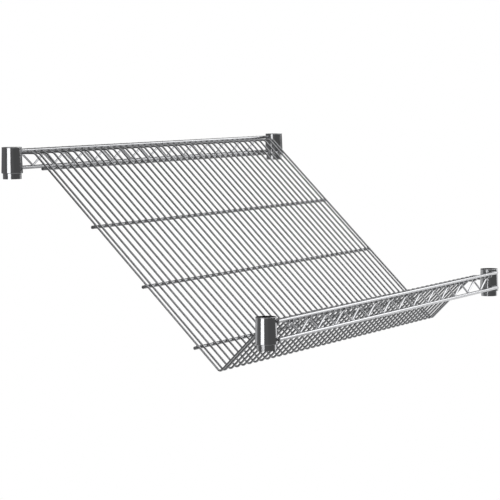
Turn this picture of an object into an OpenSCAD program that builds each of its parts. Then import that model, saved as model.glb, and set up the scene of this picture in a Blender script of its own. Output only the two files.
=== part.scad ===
// A slanted display shelf of chromed steel wire, for four upright posts.
// Forty-two bent deck wires run from back to front on four cross rods. Each end of the deck hangs
// under the top rail of a truss, and each truss is welded to two collars that slide on the posts.
// X runs along the shelf, the front truss is at -Y, +Z is up, and the lowest wire bends touch Z = 0.

/* [Shelf] */
// Length over the collars (36 in)
shelf_length = 914; // [600:1:1300]
// Depth over the collars (18 in)
shelf_depth = 457; // [400:1:600]
// How much lower the front collars are than the back ones
front_drop = 241; // [150:1:270]
// Tilt of the long slope below the horizontal, in degrees
slope_tilt = 45.5; // [42:0.5:55]

/* [Collars] */
// Bore of the lower ring, for a 25.4 mm post
post_bore = 26.0; // [20:0.1:27.5]
// Wall of the lower ring
ring_wall = 1.0; // [0.8:0.1:2]
// Height of the lower ring
ring_h = 9.5; // [6:0.5:14]
// Outer diameter of the tapered collar at its top rim
collar_top_d = 30.0; // [29.2:0.1:32]
// Outer diameter of the tapered collar at its bottom edge
collar_base_d = 32.4; // [31:0.1:40]
// Wall of the tapered collar
collar_wall = 1.2; // [0.8:0.1:2]
// Height of the tapered part
collar_h = 38.5; // [36:0.5:60]

/* [Trusses] */
// Diameter of the top rails
top_rail_d = 5.2; // [4:0.1:8]
// Diameter of the bottom rails
bottom_rail_d = 5.6; // [4:0.1:8]
// Diameter of the zigzag wires
zigzag_d = 3.2; // [2.4:0.1:5]
// Top rail's axis below the rim of the collars
top_rail_drop = 6.3; // [4:0.1:8]
// Distance between the axes of the two rails of a truss
rail_spacing = 26.3; // [24:0.1:28]
// Distance along X from a collar's axis to the cut end of a rail
rail_end_gap = 5; // [3:0.5:8]
// How far the end of a rail is pressed into a collar by the welding
rail_set = 0.5; // [0.2:0.1:0.8]
// Distance of the zigzag's plane from the plane of the rails, inwards
zigzag_inset = 2.5; // [0:0.5:3.5]
// Deck wires to one pitch of the zigzag. It is odd, so that each crest lies under a wire
zigzag_pitch_count = 3; // [3:2:5]
// Bend radius of the zigzag at its axis
zigzag_bend = 6; // [4:0.5:7]
// Length of the hook at each end of a zigzag
zigzag_hook = 9; // [6:0.5:12]

/* [Deck] */
// Evenly spaced deck wires, between the two edge wires
deck_wire_count = 40; // [30:2:40]
// Distance along X from a collar's axis to the edge wire beside it
edge_margin = 38.1; // [30:0.1:60]
// Distance from an edge wire to its neighbour
edge_step = 12.7; // [8:0.1:16]
// Diameter of the deck wires
wire_d = 3.2; // [2.4:0.1:5]
// Diameter of the cross rods
rod_d = 5; // [4:0.1:8]
// Cross rods under the slope
rod_count = 4; // [2:1:4]
// Distance along the slope from its upper bend to the first cross rod
first_rod = 29; // [20:0.5:40]
// Distance along the slope from the last cross rod to the bend in the trough
last_rod = 51; // [30:0.5:80]
// How far the cross rods reach past the edge wires
rod_overhang = 6; // [3:0.5:12]
// Distance of the two upper bends from the collar axes, inwards
bend_inset = 16.2; // [12:0.1:30]
// Bend radius where the level ends of a wire meet the slope and the lip, at the wire's axis
end_bend = 8; // [5:0.5:12]
// Bend radius in the bottom of the trough, at the wire's axis
trough_bend = 4.5; // [3:0.5:10]
// How far two crossing wires are pressed into each other by the welding
weld_set = 0.25; // [0.1:0.05:0.4]

/* [Hidden] */
wires = deck_wire_count + 2;

chrome = "#b8bcc0";
round_fn = 96;
bend_fn = 48;
wire_fn = 24;

// A bend comes out a hair thicker than the straight wire, and the straight legs reach into it
bend_swell = 0.04;
bend_lap = 0.02;

// Collar axes
axis_x = (shelf_length - collar_base_d) / 2;
axis_y = (shelf_depth - collar_base_d) / 2;

// Each rail lies against the collars' taper, so a truss leans outwards a little at the bottom
bottom_rail_drop = top_rail_drop + rail_spacing;
top_rail_y = rail_y(top_rail_drop, top_rail_d);
bottom_rail_y = rail_y(bottom_rail_drop, bottom_rail_d);
truss_lean = atan2(bottom_rail_y - top_rail_y, rail_spacing);

// A deck wire's level end hangs this far below the collars' rim, just under the top rail
tab_drop = top_rail_drop + top_rail_d / 2 + wire_d / 2 - weld_set;
// The zigzag's crests lie under those ends, and its valleys on the inner shoulder of the bottom
// rail. Both are measured from the top rail's axis, in the leaning plane of the truss
crest_fall = tab_drop - top_rail_drop + wire_d / 2 + zigzag_d / 2 - weld_set;
valley_reach = bottom_rail_d / 2 + zigzag_d / 2 - weld_set;
valley_fall = rail_spacing / cos(truss_lean) - sqrt(pow(valley_reach, 2) - pow(zigzag_inset, 2));

// A deck wire's outline in the YZ plane. The bend in the trough is a right angle, which fixes the
// length of the slope between the two upper bends.
bend_y = axis_y - bend_inset;
slope_length = 2 * bend_y * cos(slope_tilt) + front_drop * sin(slope_tilt);
trough_y = bend_y - slope_length * cos(slope_tilt);
trough_z = wire_d / 2 - trough_bend * (sin(slope_tilt) + cos(slope_tilt) - 1);
back_bend_z = trough_z + slope_length * sin(slope_tilt);
back_rim_z = back_bend_z + tab_drop;
front_rim_z = back_rim_z - front_drop;
front_bend_z = front_rim_z - tab_drop;
wire_end_y = top_rail_y + top_rail_d / 2;
wire_path = [[wire_end_y, back_bend_z], [bend_y, back_bend_z], [trough_y, trough_z],
             [-bend_y, front_bend_z], [-wire_end_y, front_bend_z]];

edge_x = axis_x - edge_margin;
wire_step = 2 * (edge_x - edge_step) / (deck_wire_count - 1);
rod_step = (slope_length - first_rod - last_rod) / (rod_count - 1);
rod_drop = wire_d / 2 + rod_d / 2 - weld_set;
// Valleys of a zigzag: the largest odd number that fits between the outermost even wires
zigzag_valleys = 2 * floor((floor((deck_wire_count - 1) / zigzag_pitch_count) - 1) / 2) + 1;

// Outer radius of a collar at a distance below its rim
function collar_r(drop) = (collar_top_d + (collar_base_d - collar_top_d) * drop / collar_h) / 2;
// Distance of a rail's axis from the middle of the shelf, with the rail's end set against a collar
function rail_y(drop, d) = axis_y + sqrt(pow(collar_r(drop), 2) - pow(rail_end_gap, 2)) + d / 2 - rail_set;

function wire_name(i) = str("deck_wire_", i < 10 ? "0" : "", i);
function wire_x(i) =
    i == 1 ? -edge_x :
    i == wires ? edge_x :
    (i - (wires + 1) / 2) * wire_step;

// Direction from one point of a flat path to the next
function heading(a, b) = atan2(b[1] - a[1], b[0] - a[0]);
// Signed turn between two headings, within half a turn
function turn(from, to) = ((to - from) % 360 + 540) % 360 - 180;
// Headings of the legs of a path
function headings(path) = [for (i = [1:len(path) - 1]) heading(path[i - 1], path[i])];
// Length that a bend of the given radius takes off each leg at each point, 0 at the two ends
function setbacks(path, radii) =
    let (h = headings(path), last = len(path) - 1)
    [for (i = [0:last]) i == 0 || i == last ? 0 : radii[i] * tan(abs(turn(h[i - 1], h[i])) / 2)];

// The straight legs of a wire along a path in the XY plane
module wire_legs(path, radii, d) {
    h = headings(path);
    cut = setbacks(path, radii);
    last = len(path) - 1;
    for (i = [1:last]) {
        start = cut[i - 1] - (i == 1 ? 0 : bend_lap);
        end = cut[i] - (i == last ? 0 : bend_lap);
        translate(path[i - 1] + start * [cos(h[i - 1]), sin(h[i - 1])])
            rotate([0, 90, h[i - 1]])
                cylinder(h = norm(path[i] - path[i - 1]) - start - end, d = d, $fn = wire_fn);
    }
}

// The round bends of the same wire
module wire_bends(path, radii, d) {
    h = headings(path);
    cut = setbacks(path, radii);
    for (i = [1:len(path) - 2]) {
        delta = turn(h[i - 1], h[i]);
        side = sign(delta);
        along = [cos(h[i - 1]), sin(h[i - 1])];
        across = [-sin(h[i - 1]), cos(h[i - 1])];
        translate(path[i] - cut[i] * along + side * radii[i] * across)
            rotate([0, 0, side > 0 ? h[i - 1] - 90 : h[i] + 90])
                rotate_extrude(angle = abs(delta), $fn = bend_fn)
                    translate([radii[i], 0])
                        circle(d = d + bend_swell, $fn = wire_fn);
    }
}

module bent_wire(path, radii, d) {
    wire_legs(path, radii, d);
    wire_bends(path, radii, d);
}

// One bent deck wire, from the back rail down the slope, round the trough and up to the front rail
module deck_wire(i) {
    color(chrome)
        translate([wire_x(i), 0, 0])
            rotate([90, 0, 90])
                bent_wire(wire_path, [0, end_bend, trough_bend, end_bend, 0], wire_d);
}

// One straight rod under the slope, across all the wires
module cross_rod(k) {
    along = first_rod + (k - 1) * rod_step;
    color(chrome)
        translate([-edge_x - rod_overhang,
                   bend_y - along * cos(slope_tilt) + rod_drop * sin(slope_tilt),
                   back_bend_z - along * sin(slope_tilt) - rod_drop * cos(slope_tilt)])
            rotate([0, 90, 0])
                cylinder(h = 2 * (edge_x + rod_overhang), d = rod_d, $fn = wire_fn);
}

// A tapered steel collar with a stepped-in ring below, turned about the post's axis
module collar() {
    base_r = collar_base_d / 2;
    top_r = collar_top_d / 2;
    bore_r = post_bore / 2;
    floor_z = -collar_h + collar_wall;
    color(chrome)
        rotate_extrude($fn = round_fn)
            polygon([[bore_r, -collar_h - ring_h], [bore_r + ring_wall, -collar_h - ring_h],
                     [bore_r + ring_wall, -collar_h], [base_r, -collar_h], [top_r, 0],
                     [top_r - collar_wall, 0], [base_r - collar_wall, floor_z], [bore_r, floor_z]]);
}

// A straight rail, welded at both ends to the outer side of a collar
module rail(d, y, z) {
    color(chrome)
        translate([-axis_x + rail_end_gap, y, z])
            rotate([0, 90, 0])
                cylinder(h = 2 * (axis_x - rail_end_gap), d = d, $fn = wire_fn);
}

// The zigzag wire of a truss, between the deck wires' ends and the bottom rail, with a hook at each end
module zigzag(side, rim_z) {
    half = zigzag_pitch_count * wire_step / 2;
    height = valley_fall - crest_fall;
    // A leg is the crossing tangent of the two bends that it joins
    between = height - 2 * zigzag_bend;
    fall = atan2(between, half) + asin(2 * zigzag_bend / norm([half, between]));
    sharp = (half * tan(fall) - height) / 2;
    crest = -crest_fall + sharp;
    valley = -valley_fall - sharp;
    reach = zigzag_valleys * half;
    hook = zigzag_hook * [cos(fall), sin(fall)];
    bends = [for (k = [-zigzag_valleys:zigzag_valleys]) [k * half, k % 2 == 0 ? valley : crest]];
    path = concat([[-reach - hook[0], crest - hook[1]]], bends, [[reach + hook[0], crest - hook[1]]]);
    color(chrome)
        translate([0, side * (top_rail_y - zigzag_inset), rim_z - top_rail_drop])
            rotate([side * truss_lean + 90, 0, 0])
                bent_wire(path, [for (p = path) zigzag_bend], zigzag_d);
}

module collar_back_left() { translate([-axis_x, axis_y, back_rim_z]) collar(); }
module collar_back_right() { translate([axis_x, axis_y, back_rim_z]) collar(); }
module collar_front_left() { translate([-axis_x, -axis_y, front_rim_z]) collar(); }
module collar_front_right() { translate([axis_x, -axis_y, front_rim_z]) collar(); }
module back_top_rail() { rail(top_rail_d, top_rail_y, back_rim_z - top_rail_drop); }
module back_bottom_rail() { rail(bottom_rail_d, bottom_rail_y, back_rim_z - bottom_rail_drop); }
module back_zigzag() { zigzag(1, back_rim_z); }
module front_top_rail() { rail(top_rail_d, -top_rail_y, front_rim_z - top_rail_drop); }
module front_bottom_rail() { rail(bottom_rail_d, -bottom_rail_y, front_rim_z - bottom_rail_drop); }
module front_zigzag() { zigzag(-1, front_rim_z); }

collar_back_left();
collar_back_right();
collar_front_left();
collar_front_right();
back_top_rail();
back_bottom_rail();
back_zigzag();
front_top_rail();
front_bottom_rail();
front_zigzag();
for (k = [1:rod_count]) cross_rod(k);
for (i = [1:wires]) deck_wire(i);
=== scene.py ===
"""Chromed wire shelf: chrome and weld details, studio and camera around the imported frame."""
import math

import bmesh
import bpy
from mathutils import Matrix, Vector


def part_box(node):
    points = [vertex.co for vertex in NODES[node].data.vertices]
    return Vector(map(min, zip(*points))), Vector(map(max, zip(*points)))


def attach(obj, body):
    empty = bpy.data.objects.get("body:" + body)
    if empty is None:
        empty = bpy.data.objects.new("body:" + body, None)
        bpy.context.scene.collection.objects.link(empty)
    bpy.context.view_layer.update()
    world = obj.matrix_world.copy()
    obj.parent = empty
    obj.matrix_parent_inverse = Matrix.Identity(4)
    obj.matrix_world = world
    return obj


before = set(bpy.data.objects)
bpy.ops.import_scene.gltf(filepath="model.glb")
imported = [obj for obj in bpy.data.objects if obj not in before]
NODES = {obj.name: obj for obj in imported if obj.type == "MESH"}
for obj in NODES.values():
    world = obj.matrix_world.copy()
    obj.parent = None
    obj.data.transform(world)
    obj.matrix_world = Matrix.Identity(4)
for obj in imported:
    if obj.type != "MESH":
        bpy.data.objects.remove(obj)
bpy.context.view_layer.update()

SCENE = bpy.context.scene

# Camera, in metres and degrees, fitted to the photograph
CAMERA_PLACE = Vector((-3.2247, -1.6190, 0.4089))
CAMERA_YAW = 27.202
CAMERA_PITCH = -4.140
CAMERA_ROLL = -0.730
FOCAL_PIXELS = 2203.0
IMAGE_PIXELS = 500
SENSOR_MM = 36.0
FARTHEST = 100.0

# Floor and world
FLOOR_Z = -0.50
FLOOR_SIZE = 60.0
PAPER = (0.90, 0.90, 0.90)
WORLD_GREY = (0.16, 0.165, 0.17)
WORLD_STRENGTH = 1.0

# Closed room that the chrome reflects: name, middle, the point that each card faces, (width, height), grey
WALLS = (
    ("wall_front", (0.0, -3.8, 1.35), (0.0, 0.0, 1.35), (8.0, 3.8), 0.10),
    ("wall_right", (3.8, 0.0, 1.35), (0.0, 0.0, 1.35), (8.0, 3.8), 0.12),
    ("wall_left", (-3.8, 0.0, 1.35), (0.0, 0.0, 1.35), (8.0, 3.8), 0.12),
    ("wall_back", (0.0, 3.8, 1.35), (0.0, 0.0, 1.35), (8.0, 3.8), 0.15),
    ("ceiling", (0.0, 0.0, 3.2), (0.0, 0.0, 0.0), (8.0, 8.0), 0.20),
    ("ground", (0.0, 0.0, -0.48), (0.0, 0.0, 1.0), (8.0, 8.0), 0.12),
)

# Lighter cards in the room, for the lip, the lower edges of the rails, the upper sides of the deck's wires,
# the collars' left edges, and the upper edges and the fronts of the front rails
LIGHT_CARDS = (
    ("card_ground_left", (-1.3, -0.05, -0.47), (-1.3, -0.05, 1.0), (2.0, 0.8), 0.36),
    ("card_ground_middle", (0.25, -0.12, -0.46), (0.25, -0.12, 1.0), (1.7, 0.60), 0.65),
    ("card_ground_right", (2.25, -1.1, -0.47), (2.25, -1.1, 1.0), (2.3, 2.2), 0.90),
    ("card_overhead", (0.2, 0.0, 3.0), (0.2, 0.0, 0.0), (3.6, 3.6), 1.00),
    ("card_back_low", (1.4, 3.5, -0.2), (1.4, 0.0, -0.2), (5.0, 0.6), 0.50),
    ("card_right_high", (3.5, -0.55, 1.65), (0.0, -0.55, 1.65), (2.2, 0.8), 1.00),
    ("card_right", (3.5, -1.3, -0.12), (0.0, -1.3, -0.12), (2.6, 0.75), 0.90),
)

# Softboxes, which all face AIM: name, middle, (width, height), brightness where 1 is white
AIM = (0.0, 0.0, 0.15)
SOFTBOXES = (
    ("softbox_left", (-2.6, 0.28, 0.14), (1.4, 0.72), 1.7),
    ("softbox_top", (1.15, -1.6, 1.8), (2.0, 2.2), 1.60),
    ("softbox_right", (2.6, -1.5, 0.98), (1.9, 1.15), 1.50),
)

# Chrome: the bright tint is the collars' and the trusses'. The deck's wires and rods get a darker copy of the
# same chrome, which is painted shade
BRIGHT_TINT = (0.60, 0.605, 0.62)
DECK_PAINTED_SHADE_TINT = (0.38, 0.385, 0.395)
# Weld flash, darker than the chrome: the dark tint also paints the shade where the wires cross the rods and
# the rails
WELD_AND_PAINTED_SHADE_TINT = (0.36, 0.36, 0.37)
COLLAR_ROUGHNESS = 0.11
WIRE_ROUGHNESS = 0.16
WELD_ROUGHNESS = 0.30
ROUGHNESS_SHARES = (0.75, 1.35)

# Faint waves in the chrome: how many to a metre, and their height in metres
COLLAR_WAVES = (90.0, 0.00006)
WIRE_WAVES = (260.0, 0.00004)
WELD_WAVES = (500.0, 0.00008)
WAVE_DETAIL = 4.0
WAVE_STRENGTH = 0.25

# Weld flash: half its length along the rod or rail, half its width, and half its height
WELD_SPOT = (0.0027, 0.0029, 0.0012)
EDGE_SPOT = (0.0026, 0.0014, 0.0007)
END_WELD = (0.0030, 0.0022, 0.0026)

# How much the beads of a row differ, and the turn in radians from one bead to the next that spreads this
WELD_SPREAD = 0.12
WELD_TURN = 7.0

# Rolled edges of a collar: their section's radius, and how far they stand proud of the taper
RIM_BEAD = 0.0006
STEP_BEAD = 0.0008
BEAD_PROUD = 0.0003
BEAD_STEPS = 12
RING_STEPS = 96

# A collar's points this near its top lie on its rim, and those this near its widest lie above its step
RIM_NEAR = 0.0001
SIDE_NEAR = 0.0002


def nodes_of(material):
    """The material's node tree, emptied, with its output."""
    material.use_nodes = True
    tree = material.node_tree
    tree.nodes.clear()
    output = tree.nodes.new("ShaderNodeOutputMaterial")
    return tree, output


def chrome_material(name, tint, roughness, waves):
    """Bright plating on steel: faint waves from the drawing, and a roughness that varies a little."""
    scale, height = waves
    material = bpy.data.materials.new(name)
    tree, output = nodes_of(material)
    shader = tree.nodes.new("ShaderNodeBsdfPrincipled")
    shader.inputs["Base Color"].default_value = (*tint, 1.0)
    shader.inputs["Metallic"].default_value = 1.0
    tree.links.new(shader.outputs["BSDF"], output.inputs["Surface"])

    place = tree.nodes.new("ShaderNodeTexCoord")
    clouds = tree.nodes.new("ShaderNodeTexNoise")
    clouds.inputs["Scale"].default_value = scale
    clouds.inputs["Detail"].default_value = WAVE_DETAIL
    tree.links.new(place.outputs["Object"], clouds.inputs["Vector"])

    spread = tree.nodes.new("ShaderNodeMapRange")
    spread.inputs["To Min"].default_value = roughness * ROUGHNESS_SHARES[0]
    spread.inputs["To Max"].default_value = roughness * ROUGHNESS_SHARES[1]
    tree.links.new(clouds.outputs["Fac"], spread.inputs["Value"])
    tree.links.new(spread.outputs["Result"], shader.inputs["Roughness"])

    bump = tree.nodes.new("ShaderNodeBump")
    bump.inputs["Strength"].default_value = WAVE_STRENGTH
    bump.inputs["Distance"].default_value = height
    tree.links.new(clouds.outputs["Fac"], bump.inputs["Height"])
    tree.links.new(bump.outputs["Normal"], shader.inputs["Normal"])
    return material


def look_of(name):
    """The chrome of a CAD node."""
    if name.startswith("collar"):
        return COLLAR_LOOK
    # The deck's wires and rods take the darker copy of the chrome, painted shade
    if name.startswith(("deck_wire", "cross_rod")):
        return DECK_PAINTED_SHADE_LOOK
    return TRUSS_LOOK


def paint(node, material):
    """Gives a CAD node the material in place of its own."""
    for slot in node.material_slots:
        slot.material = material
    if not node.material_slots:
        node.data.materials.append(material)


def named(start):
    """The CAD nodes' names that begin with start, in order."""
    return sorted(name for name in NODES if name.startswith(start))


def corners(name):
    """The lowest and the highest corner of a node's box."""
    low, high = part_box(name)
    return Vector(low), Vector(high)


def middle(name):
    """The centre of a node's box."""
    low, high = corners(name)
    return (low + high) / 2


def thickness(name):
    """The height of a straight rod or rail that lies along X."""
    low, high = corners(name)
    return high.z - low.z


def settle(name, mesh, look):
    """Makes a smooth piece of a bmesh, with its material, on the shelf's one body."""
    for face in mesh.faces:
        face.smooth = True
    data = bpy.data.meshes.new(name)
    mesh.to_mesh(data)
    mesh.free()
    data.materials.append(look)
    piece = bpy.data.objects.new(name, data)
    bpy.context.collection.objects.link(piece)
    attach(piece, "root")


def add_welds(name, places, radii, turn=Matrix.Identity(4)):
    """Small flattened beads of weld flash, no two quite alike, in a darker chrome that also paints shade
    where wires cross rods and rails.
    """
    mesh = bmesh.new()
    for index, place in enumerate(places):
        swell = 1 + WELD_SPREAD * math.sin(WELD_TURN * index)
        size = Matrix.Diagonal((radii[0] * swell, radii[1] / swell, radii[2], 1.0))
        pose = Matrix.Translation(place) @ turn @ size
        bmesh.ops.create_icosphere(mesh, subdivisions=2, radius=1.0, matrix=pose)
    settle(name, mesh, WELD_AND_PAINTED_SHADE_LOOK)


def weld_rods(wire_places):
    """Flash on the cross rods, where the slope's wires lie on them."""
    rods = named("cross_rod")
    slope = middle(rods[0]) - middle(rods[-1])
    turn = Matrix.Rotation(math.atan2(slope.z, slope.y), 4, "X")
    out_of_slope = turn @ Vector((0.0, 0.0, 1.0))
    for name in rods:
        top = middle(name) + out_of_slope * thickness(name) / 2
        add_welds("welds_" + name, [Vector((x, top.y, top.z)) for x in wire_places], WELD_SPOT, turn)


def weld_truss(end, wire_places):
    """Flash under and along the top rail of the back or front truss, and where rails meet collars."""
    top_rail = end + "_top_rail"
    rail = middle(top_rail)
    under = rail.z - thickness(top_rail) / 2
    add_welds("welds_" + top_rail, [Vector((x, rail.y, under)) for x in wire_places], WELD_SPOT)
    over = rail.z + thickness(top_rail) / 2 - EDGE_SPOT[2] / 2
    add_welds("flash_" + top_rail, [Vector((x, rail.y, over)) for x in wire_places], EDGE_SPOT)

    ends = []
    for name in (top_rail, end + "_bottom_rail"):
        low, high = corners(name)
        inner = low.y if end == "back" else high.y
        ends += [Vector((x, inner, middle(name).z)) for x in (low.x, high.x)]
    add_welds("welds_%s_collars" % end, ends, END_WELD)


def add_bead(name, centre, ring, section):
    """A rolled edge round a collar."""
    mesh = bmesh.new()
    rows = []
    for i in range(RING_STEPS):
        around = 2 * math.pi * i / RING_STEPS
        row = []
        for k in range(BEAD_STEPS):
            up = 2 * math.pi * k / BEAD_STEPS
            reach = ring + section * math.cos(up)
            offset = Vector((reach * math.cos(around), reach * math.sin(around), section * math.sin(up)))
            row.append(mesh.verts.new(centre + offset))
        rows.append(row)
    for i in range(RING_STEPS):
        here = rows[i]
        there = rows[(i + 1) % RING_STEPS]
        for k in range(BEAD_STEPS):
            after = (k + 1) % BEAD_STEPS
            mesh.faces.new((here[k], there[k], there[after], here[after]))
    settle(name, mesh, COLLAR_LOOK)


def roll_collar(name):
    """Beads on a collar's rim and on the step to its foot."""
    low, high = corners(name)
    centre = middle(name)
    base = (high.x - low.x) / 2
    points = [vertex.co for vertex in NODES[name].data.vertices]
    reaches = [(math.hypot(point.x - centre.x, point.y - centre.y), point.z) for point in points]
    rim = max(reach for reach, z in reaches if z > high.z - RIM_NEAR)
    step = min(z for reach, z in reaches if reach > base - SIDE_NEAR)
    rim_centre = Vector((centre.x, centre.y, high.z - RIM_BEAD))
    add_bead(name + "_rim", rim_centre, rim - RIM_BEAD + BEAD_PROUD, RIM_BEAD)
    add_bead(name + "_step", Vector((centre.x, centre.y, step)), base - STEP_BEAD, STEP_BEAD)


def light_path_white(tree, surface, output, kind):
    """Shows plain white to camera, glossy and transmission rays, and surface to all others."""
    path = tree.nodes.new("ShaderNodeLightPath")
    first = tree.nodes.new("ShaderNodeMath")
    first.operation = "MAXIMUM"
    tree.links.new(path.outputs["Is Camera Ray"], first.inputs[0])
    tree.links.new(path.outputs["Is Glossy Ray"], first.inputs[1])
    second = tree.nodes.new("ShaderNodeMath")
    second.operation = "MAXIMUM"
    tree.links.new(first.outputs["Value"], second.inputs[0])
    tree.links.new(path.outputs["Is Transmission Ray"], second.inputs[1])
    white = tree.nodes.new(kind)
    white.inputs["Color"].default_value = (1.0, 1.0, 1.0, 1.0)
    white.inputs["Strength"].default_value = 1.0
    mix = tree.nodes.new("ShaderNodeMixShader")
    tree.links.new(second.outputs["Value"], mix.inputs["Fac"])
    tree.links.new(surface, mix.inputs[1])
    tree.links.new(white.outputs[0], mix.inputs[2])
    tree.links.new(mix.outputs["Shader"], output.inputs["Surface"])


def make_floor():
    """A plain pale floor that reaches past every view."""
    bpy.ops.mesh.primitive_plane_add(size=FLOOR_SIZE, location=(0.0, 0.0, FLOOR_Z))
    floor = bpy.context.object
    floor.name = "floor"
    material = bpy.data.materials.new("floor_paper")
    tree, output = nodes_of(material)
    shader = tree.nodes.new("ShaderNodeBsdfDiffuse")
    shader.inputs["Color"].default_value = (*PAPER, 1.0)
    light_path_white(tree, shader.outputs["BSDF"], output, "ShaderNodeEmission")
    floor.data.materials.append(material)


def make_world():
    """A grey world, white where the camera or a reflection sees it."""
    world = bpy.data.worlds.new("studio")
    world.use_nodes = True
    tree = world.node_tree
    tree.nodes.clear()
    output = tree.nodes.new("ShaderNodeOutputWorld")
    room = tree.nodes.new("ShaderNodeBackground")
    room.inputs["Color"].default_value = (*WORLD_GREY, 1.0)
    room.inputs["Strength"].default_value = WORLD_STRENGTH
    light_path_white(tree, room.outputs["Background"], output, "ShaderNodeBackground")
    SCENE.world = world


def facing(place, target):
    """The turn that points a lamp or a card at target, with its width level."""
    return (Vector(target) - Vector(place)).to_track_quat("-Z", "Y").to_euler()


def add_softbox(name, place, size, brightness):
    """A rectangular soft lamp that points at the shelf, with the power that gives its face the brightness."""
    lamp = bpy.data.lights.new(name, "AREA")
    lamp.shape = "RECTANGLE"
    lamp.size, lamp.size_y = size
    lamp.energy = brightness * math.pi * size[0] * size[1]
    rig = bpy.data.objects.new(name, lamp)
    rig.location = place
    rig.rotation_euler = facing(place, AIM)
    bpy.context.collection.objects.link(rig)


def add_card(name, place, target, size, grey):
    """A plain grey card that the camera doesn't see and that casts no shadow."""
    bpy.ops.mesh.primitive_plane_add(size=1.0, location=place, rotation=facing(place, target))
    card = bpy.context.object
    card.name = name
    card.scale = (size[0], size[1], 1.0)
    card.visible_camera = False
    card.visible_shadow = False
    material = bpy.data.materials.new(name)
    tree, output = nodes_of(material)
    glow = tree.nodes.new("ShaderNodeEmission")
    glow.inputs["Color"].default_value = (grey, grey, grey, 1.0)
    tree.links.new(glow.outputs["Emission"], output.inputs["Surface"])
    card.data.materials.append(material)


def make_camera():
    """The photograph's camera."""
    yaw, pitch, roll = (math.radians(a) for a in (CAMERA_YAW, CAMERA_PITCH, CAMERA_ROLL))
    forward = Vector((math.cos(pitch) * math.cos(yaw), math.cos(pitch) * math.sin(yaw), math.sin(pitch)))
    level = Vector((math.sin(yaw), -math.cos(yaw), 0.0))
    upright = level.cross(forward)
    right = math.cos(roll) * level + math.sin(roll) * upright
    up = math.cos(roll) * upright - math.sin(roll) * level
    data = bpy.data.cameras.new("camera")
    data.sensor_width = SENSOR_MM
    data.lens = FOCAL_PIXELS / IMAGE_PIXELS * SENSOR_MM
    data.clip_end = FARTHEST
    camera = bpy.data.objects.new("camera", data)
    turn = Matrix((right, up, -forward)).transposed()
    camera.matrix_world = Matrix.Translation(CAMERA_PLACE) @ turn.to_4x4()
    bpy.context.collection.objects.link(camera)
    SCENE.camera = camera


# Studio and camera
make_camera()
make_floor()
make_world()
for card in WALLS + LIGHT_CARDS:
    add_card(*card)
for softbox in SOFTBOXES:
    add_softbox(*softbox)

# Finish of the CAD nodes
COLLAR_LOOK = chrome_material("collar_chrome", BRIGHT_TINT, COLLAR_ROUGHNESS, COLLAR_WAVES)
TRUSS_LOOK = chrome_material("truss_chrome", BRIGHT_TINT, WIRE_ROUGHNESS, WIRE_WAVES)
# Painted shade: the deck's chrome is a darker copy of the truss chrome
DECK_PAINTED_SHADE_LOOK = chrome_material("deck_chrome_painted_shade", DECK_PAINTED_SHADE_TINT, WIRE_ROUGHNESS, WIRE_WAVES)
# The weld chrome is weld flash, and its dark tint is also painted shade at the crossings
WELD_AND_PAINTED_SHADE_LOOK = chrome_material("weld_chrome_and_painted_shade", WELD_AND_PAINTED_SHADE_TINT, WELD_ROUGHNESS, WELD_WAVES)
for name, node in NODES.items():
    paint(node, look_of(name))

# Weld flash and rolled edges
WIRE_PLACES = [middle(name).x for name in named("deck_wire")]
weld_rods(WIRE_PLACES)
for end in ("back", "front"):
    weld_truss(end, WIRE_PLACES)
for name in named("collar"):
    roll_collar(name)

SCENE.view_settings.view_transform = "Standard"
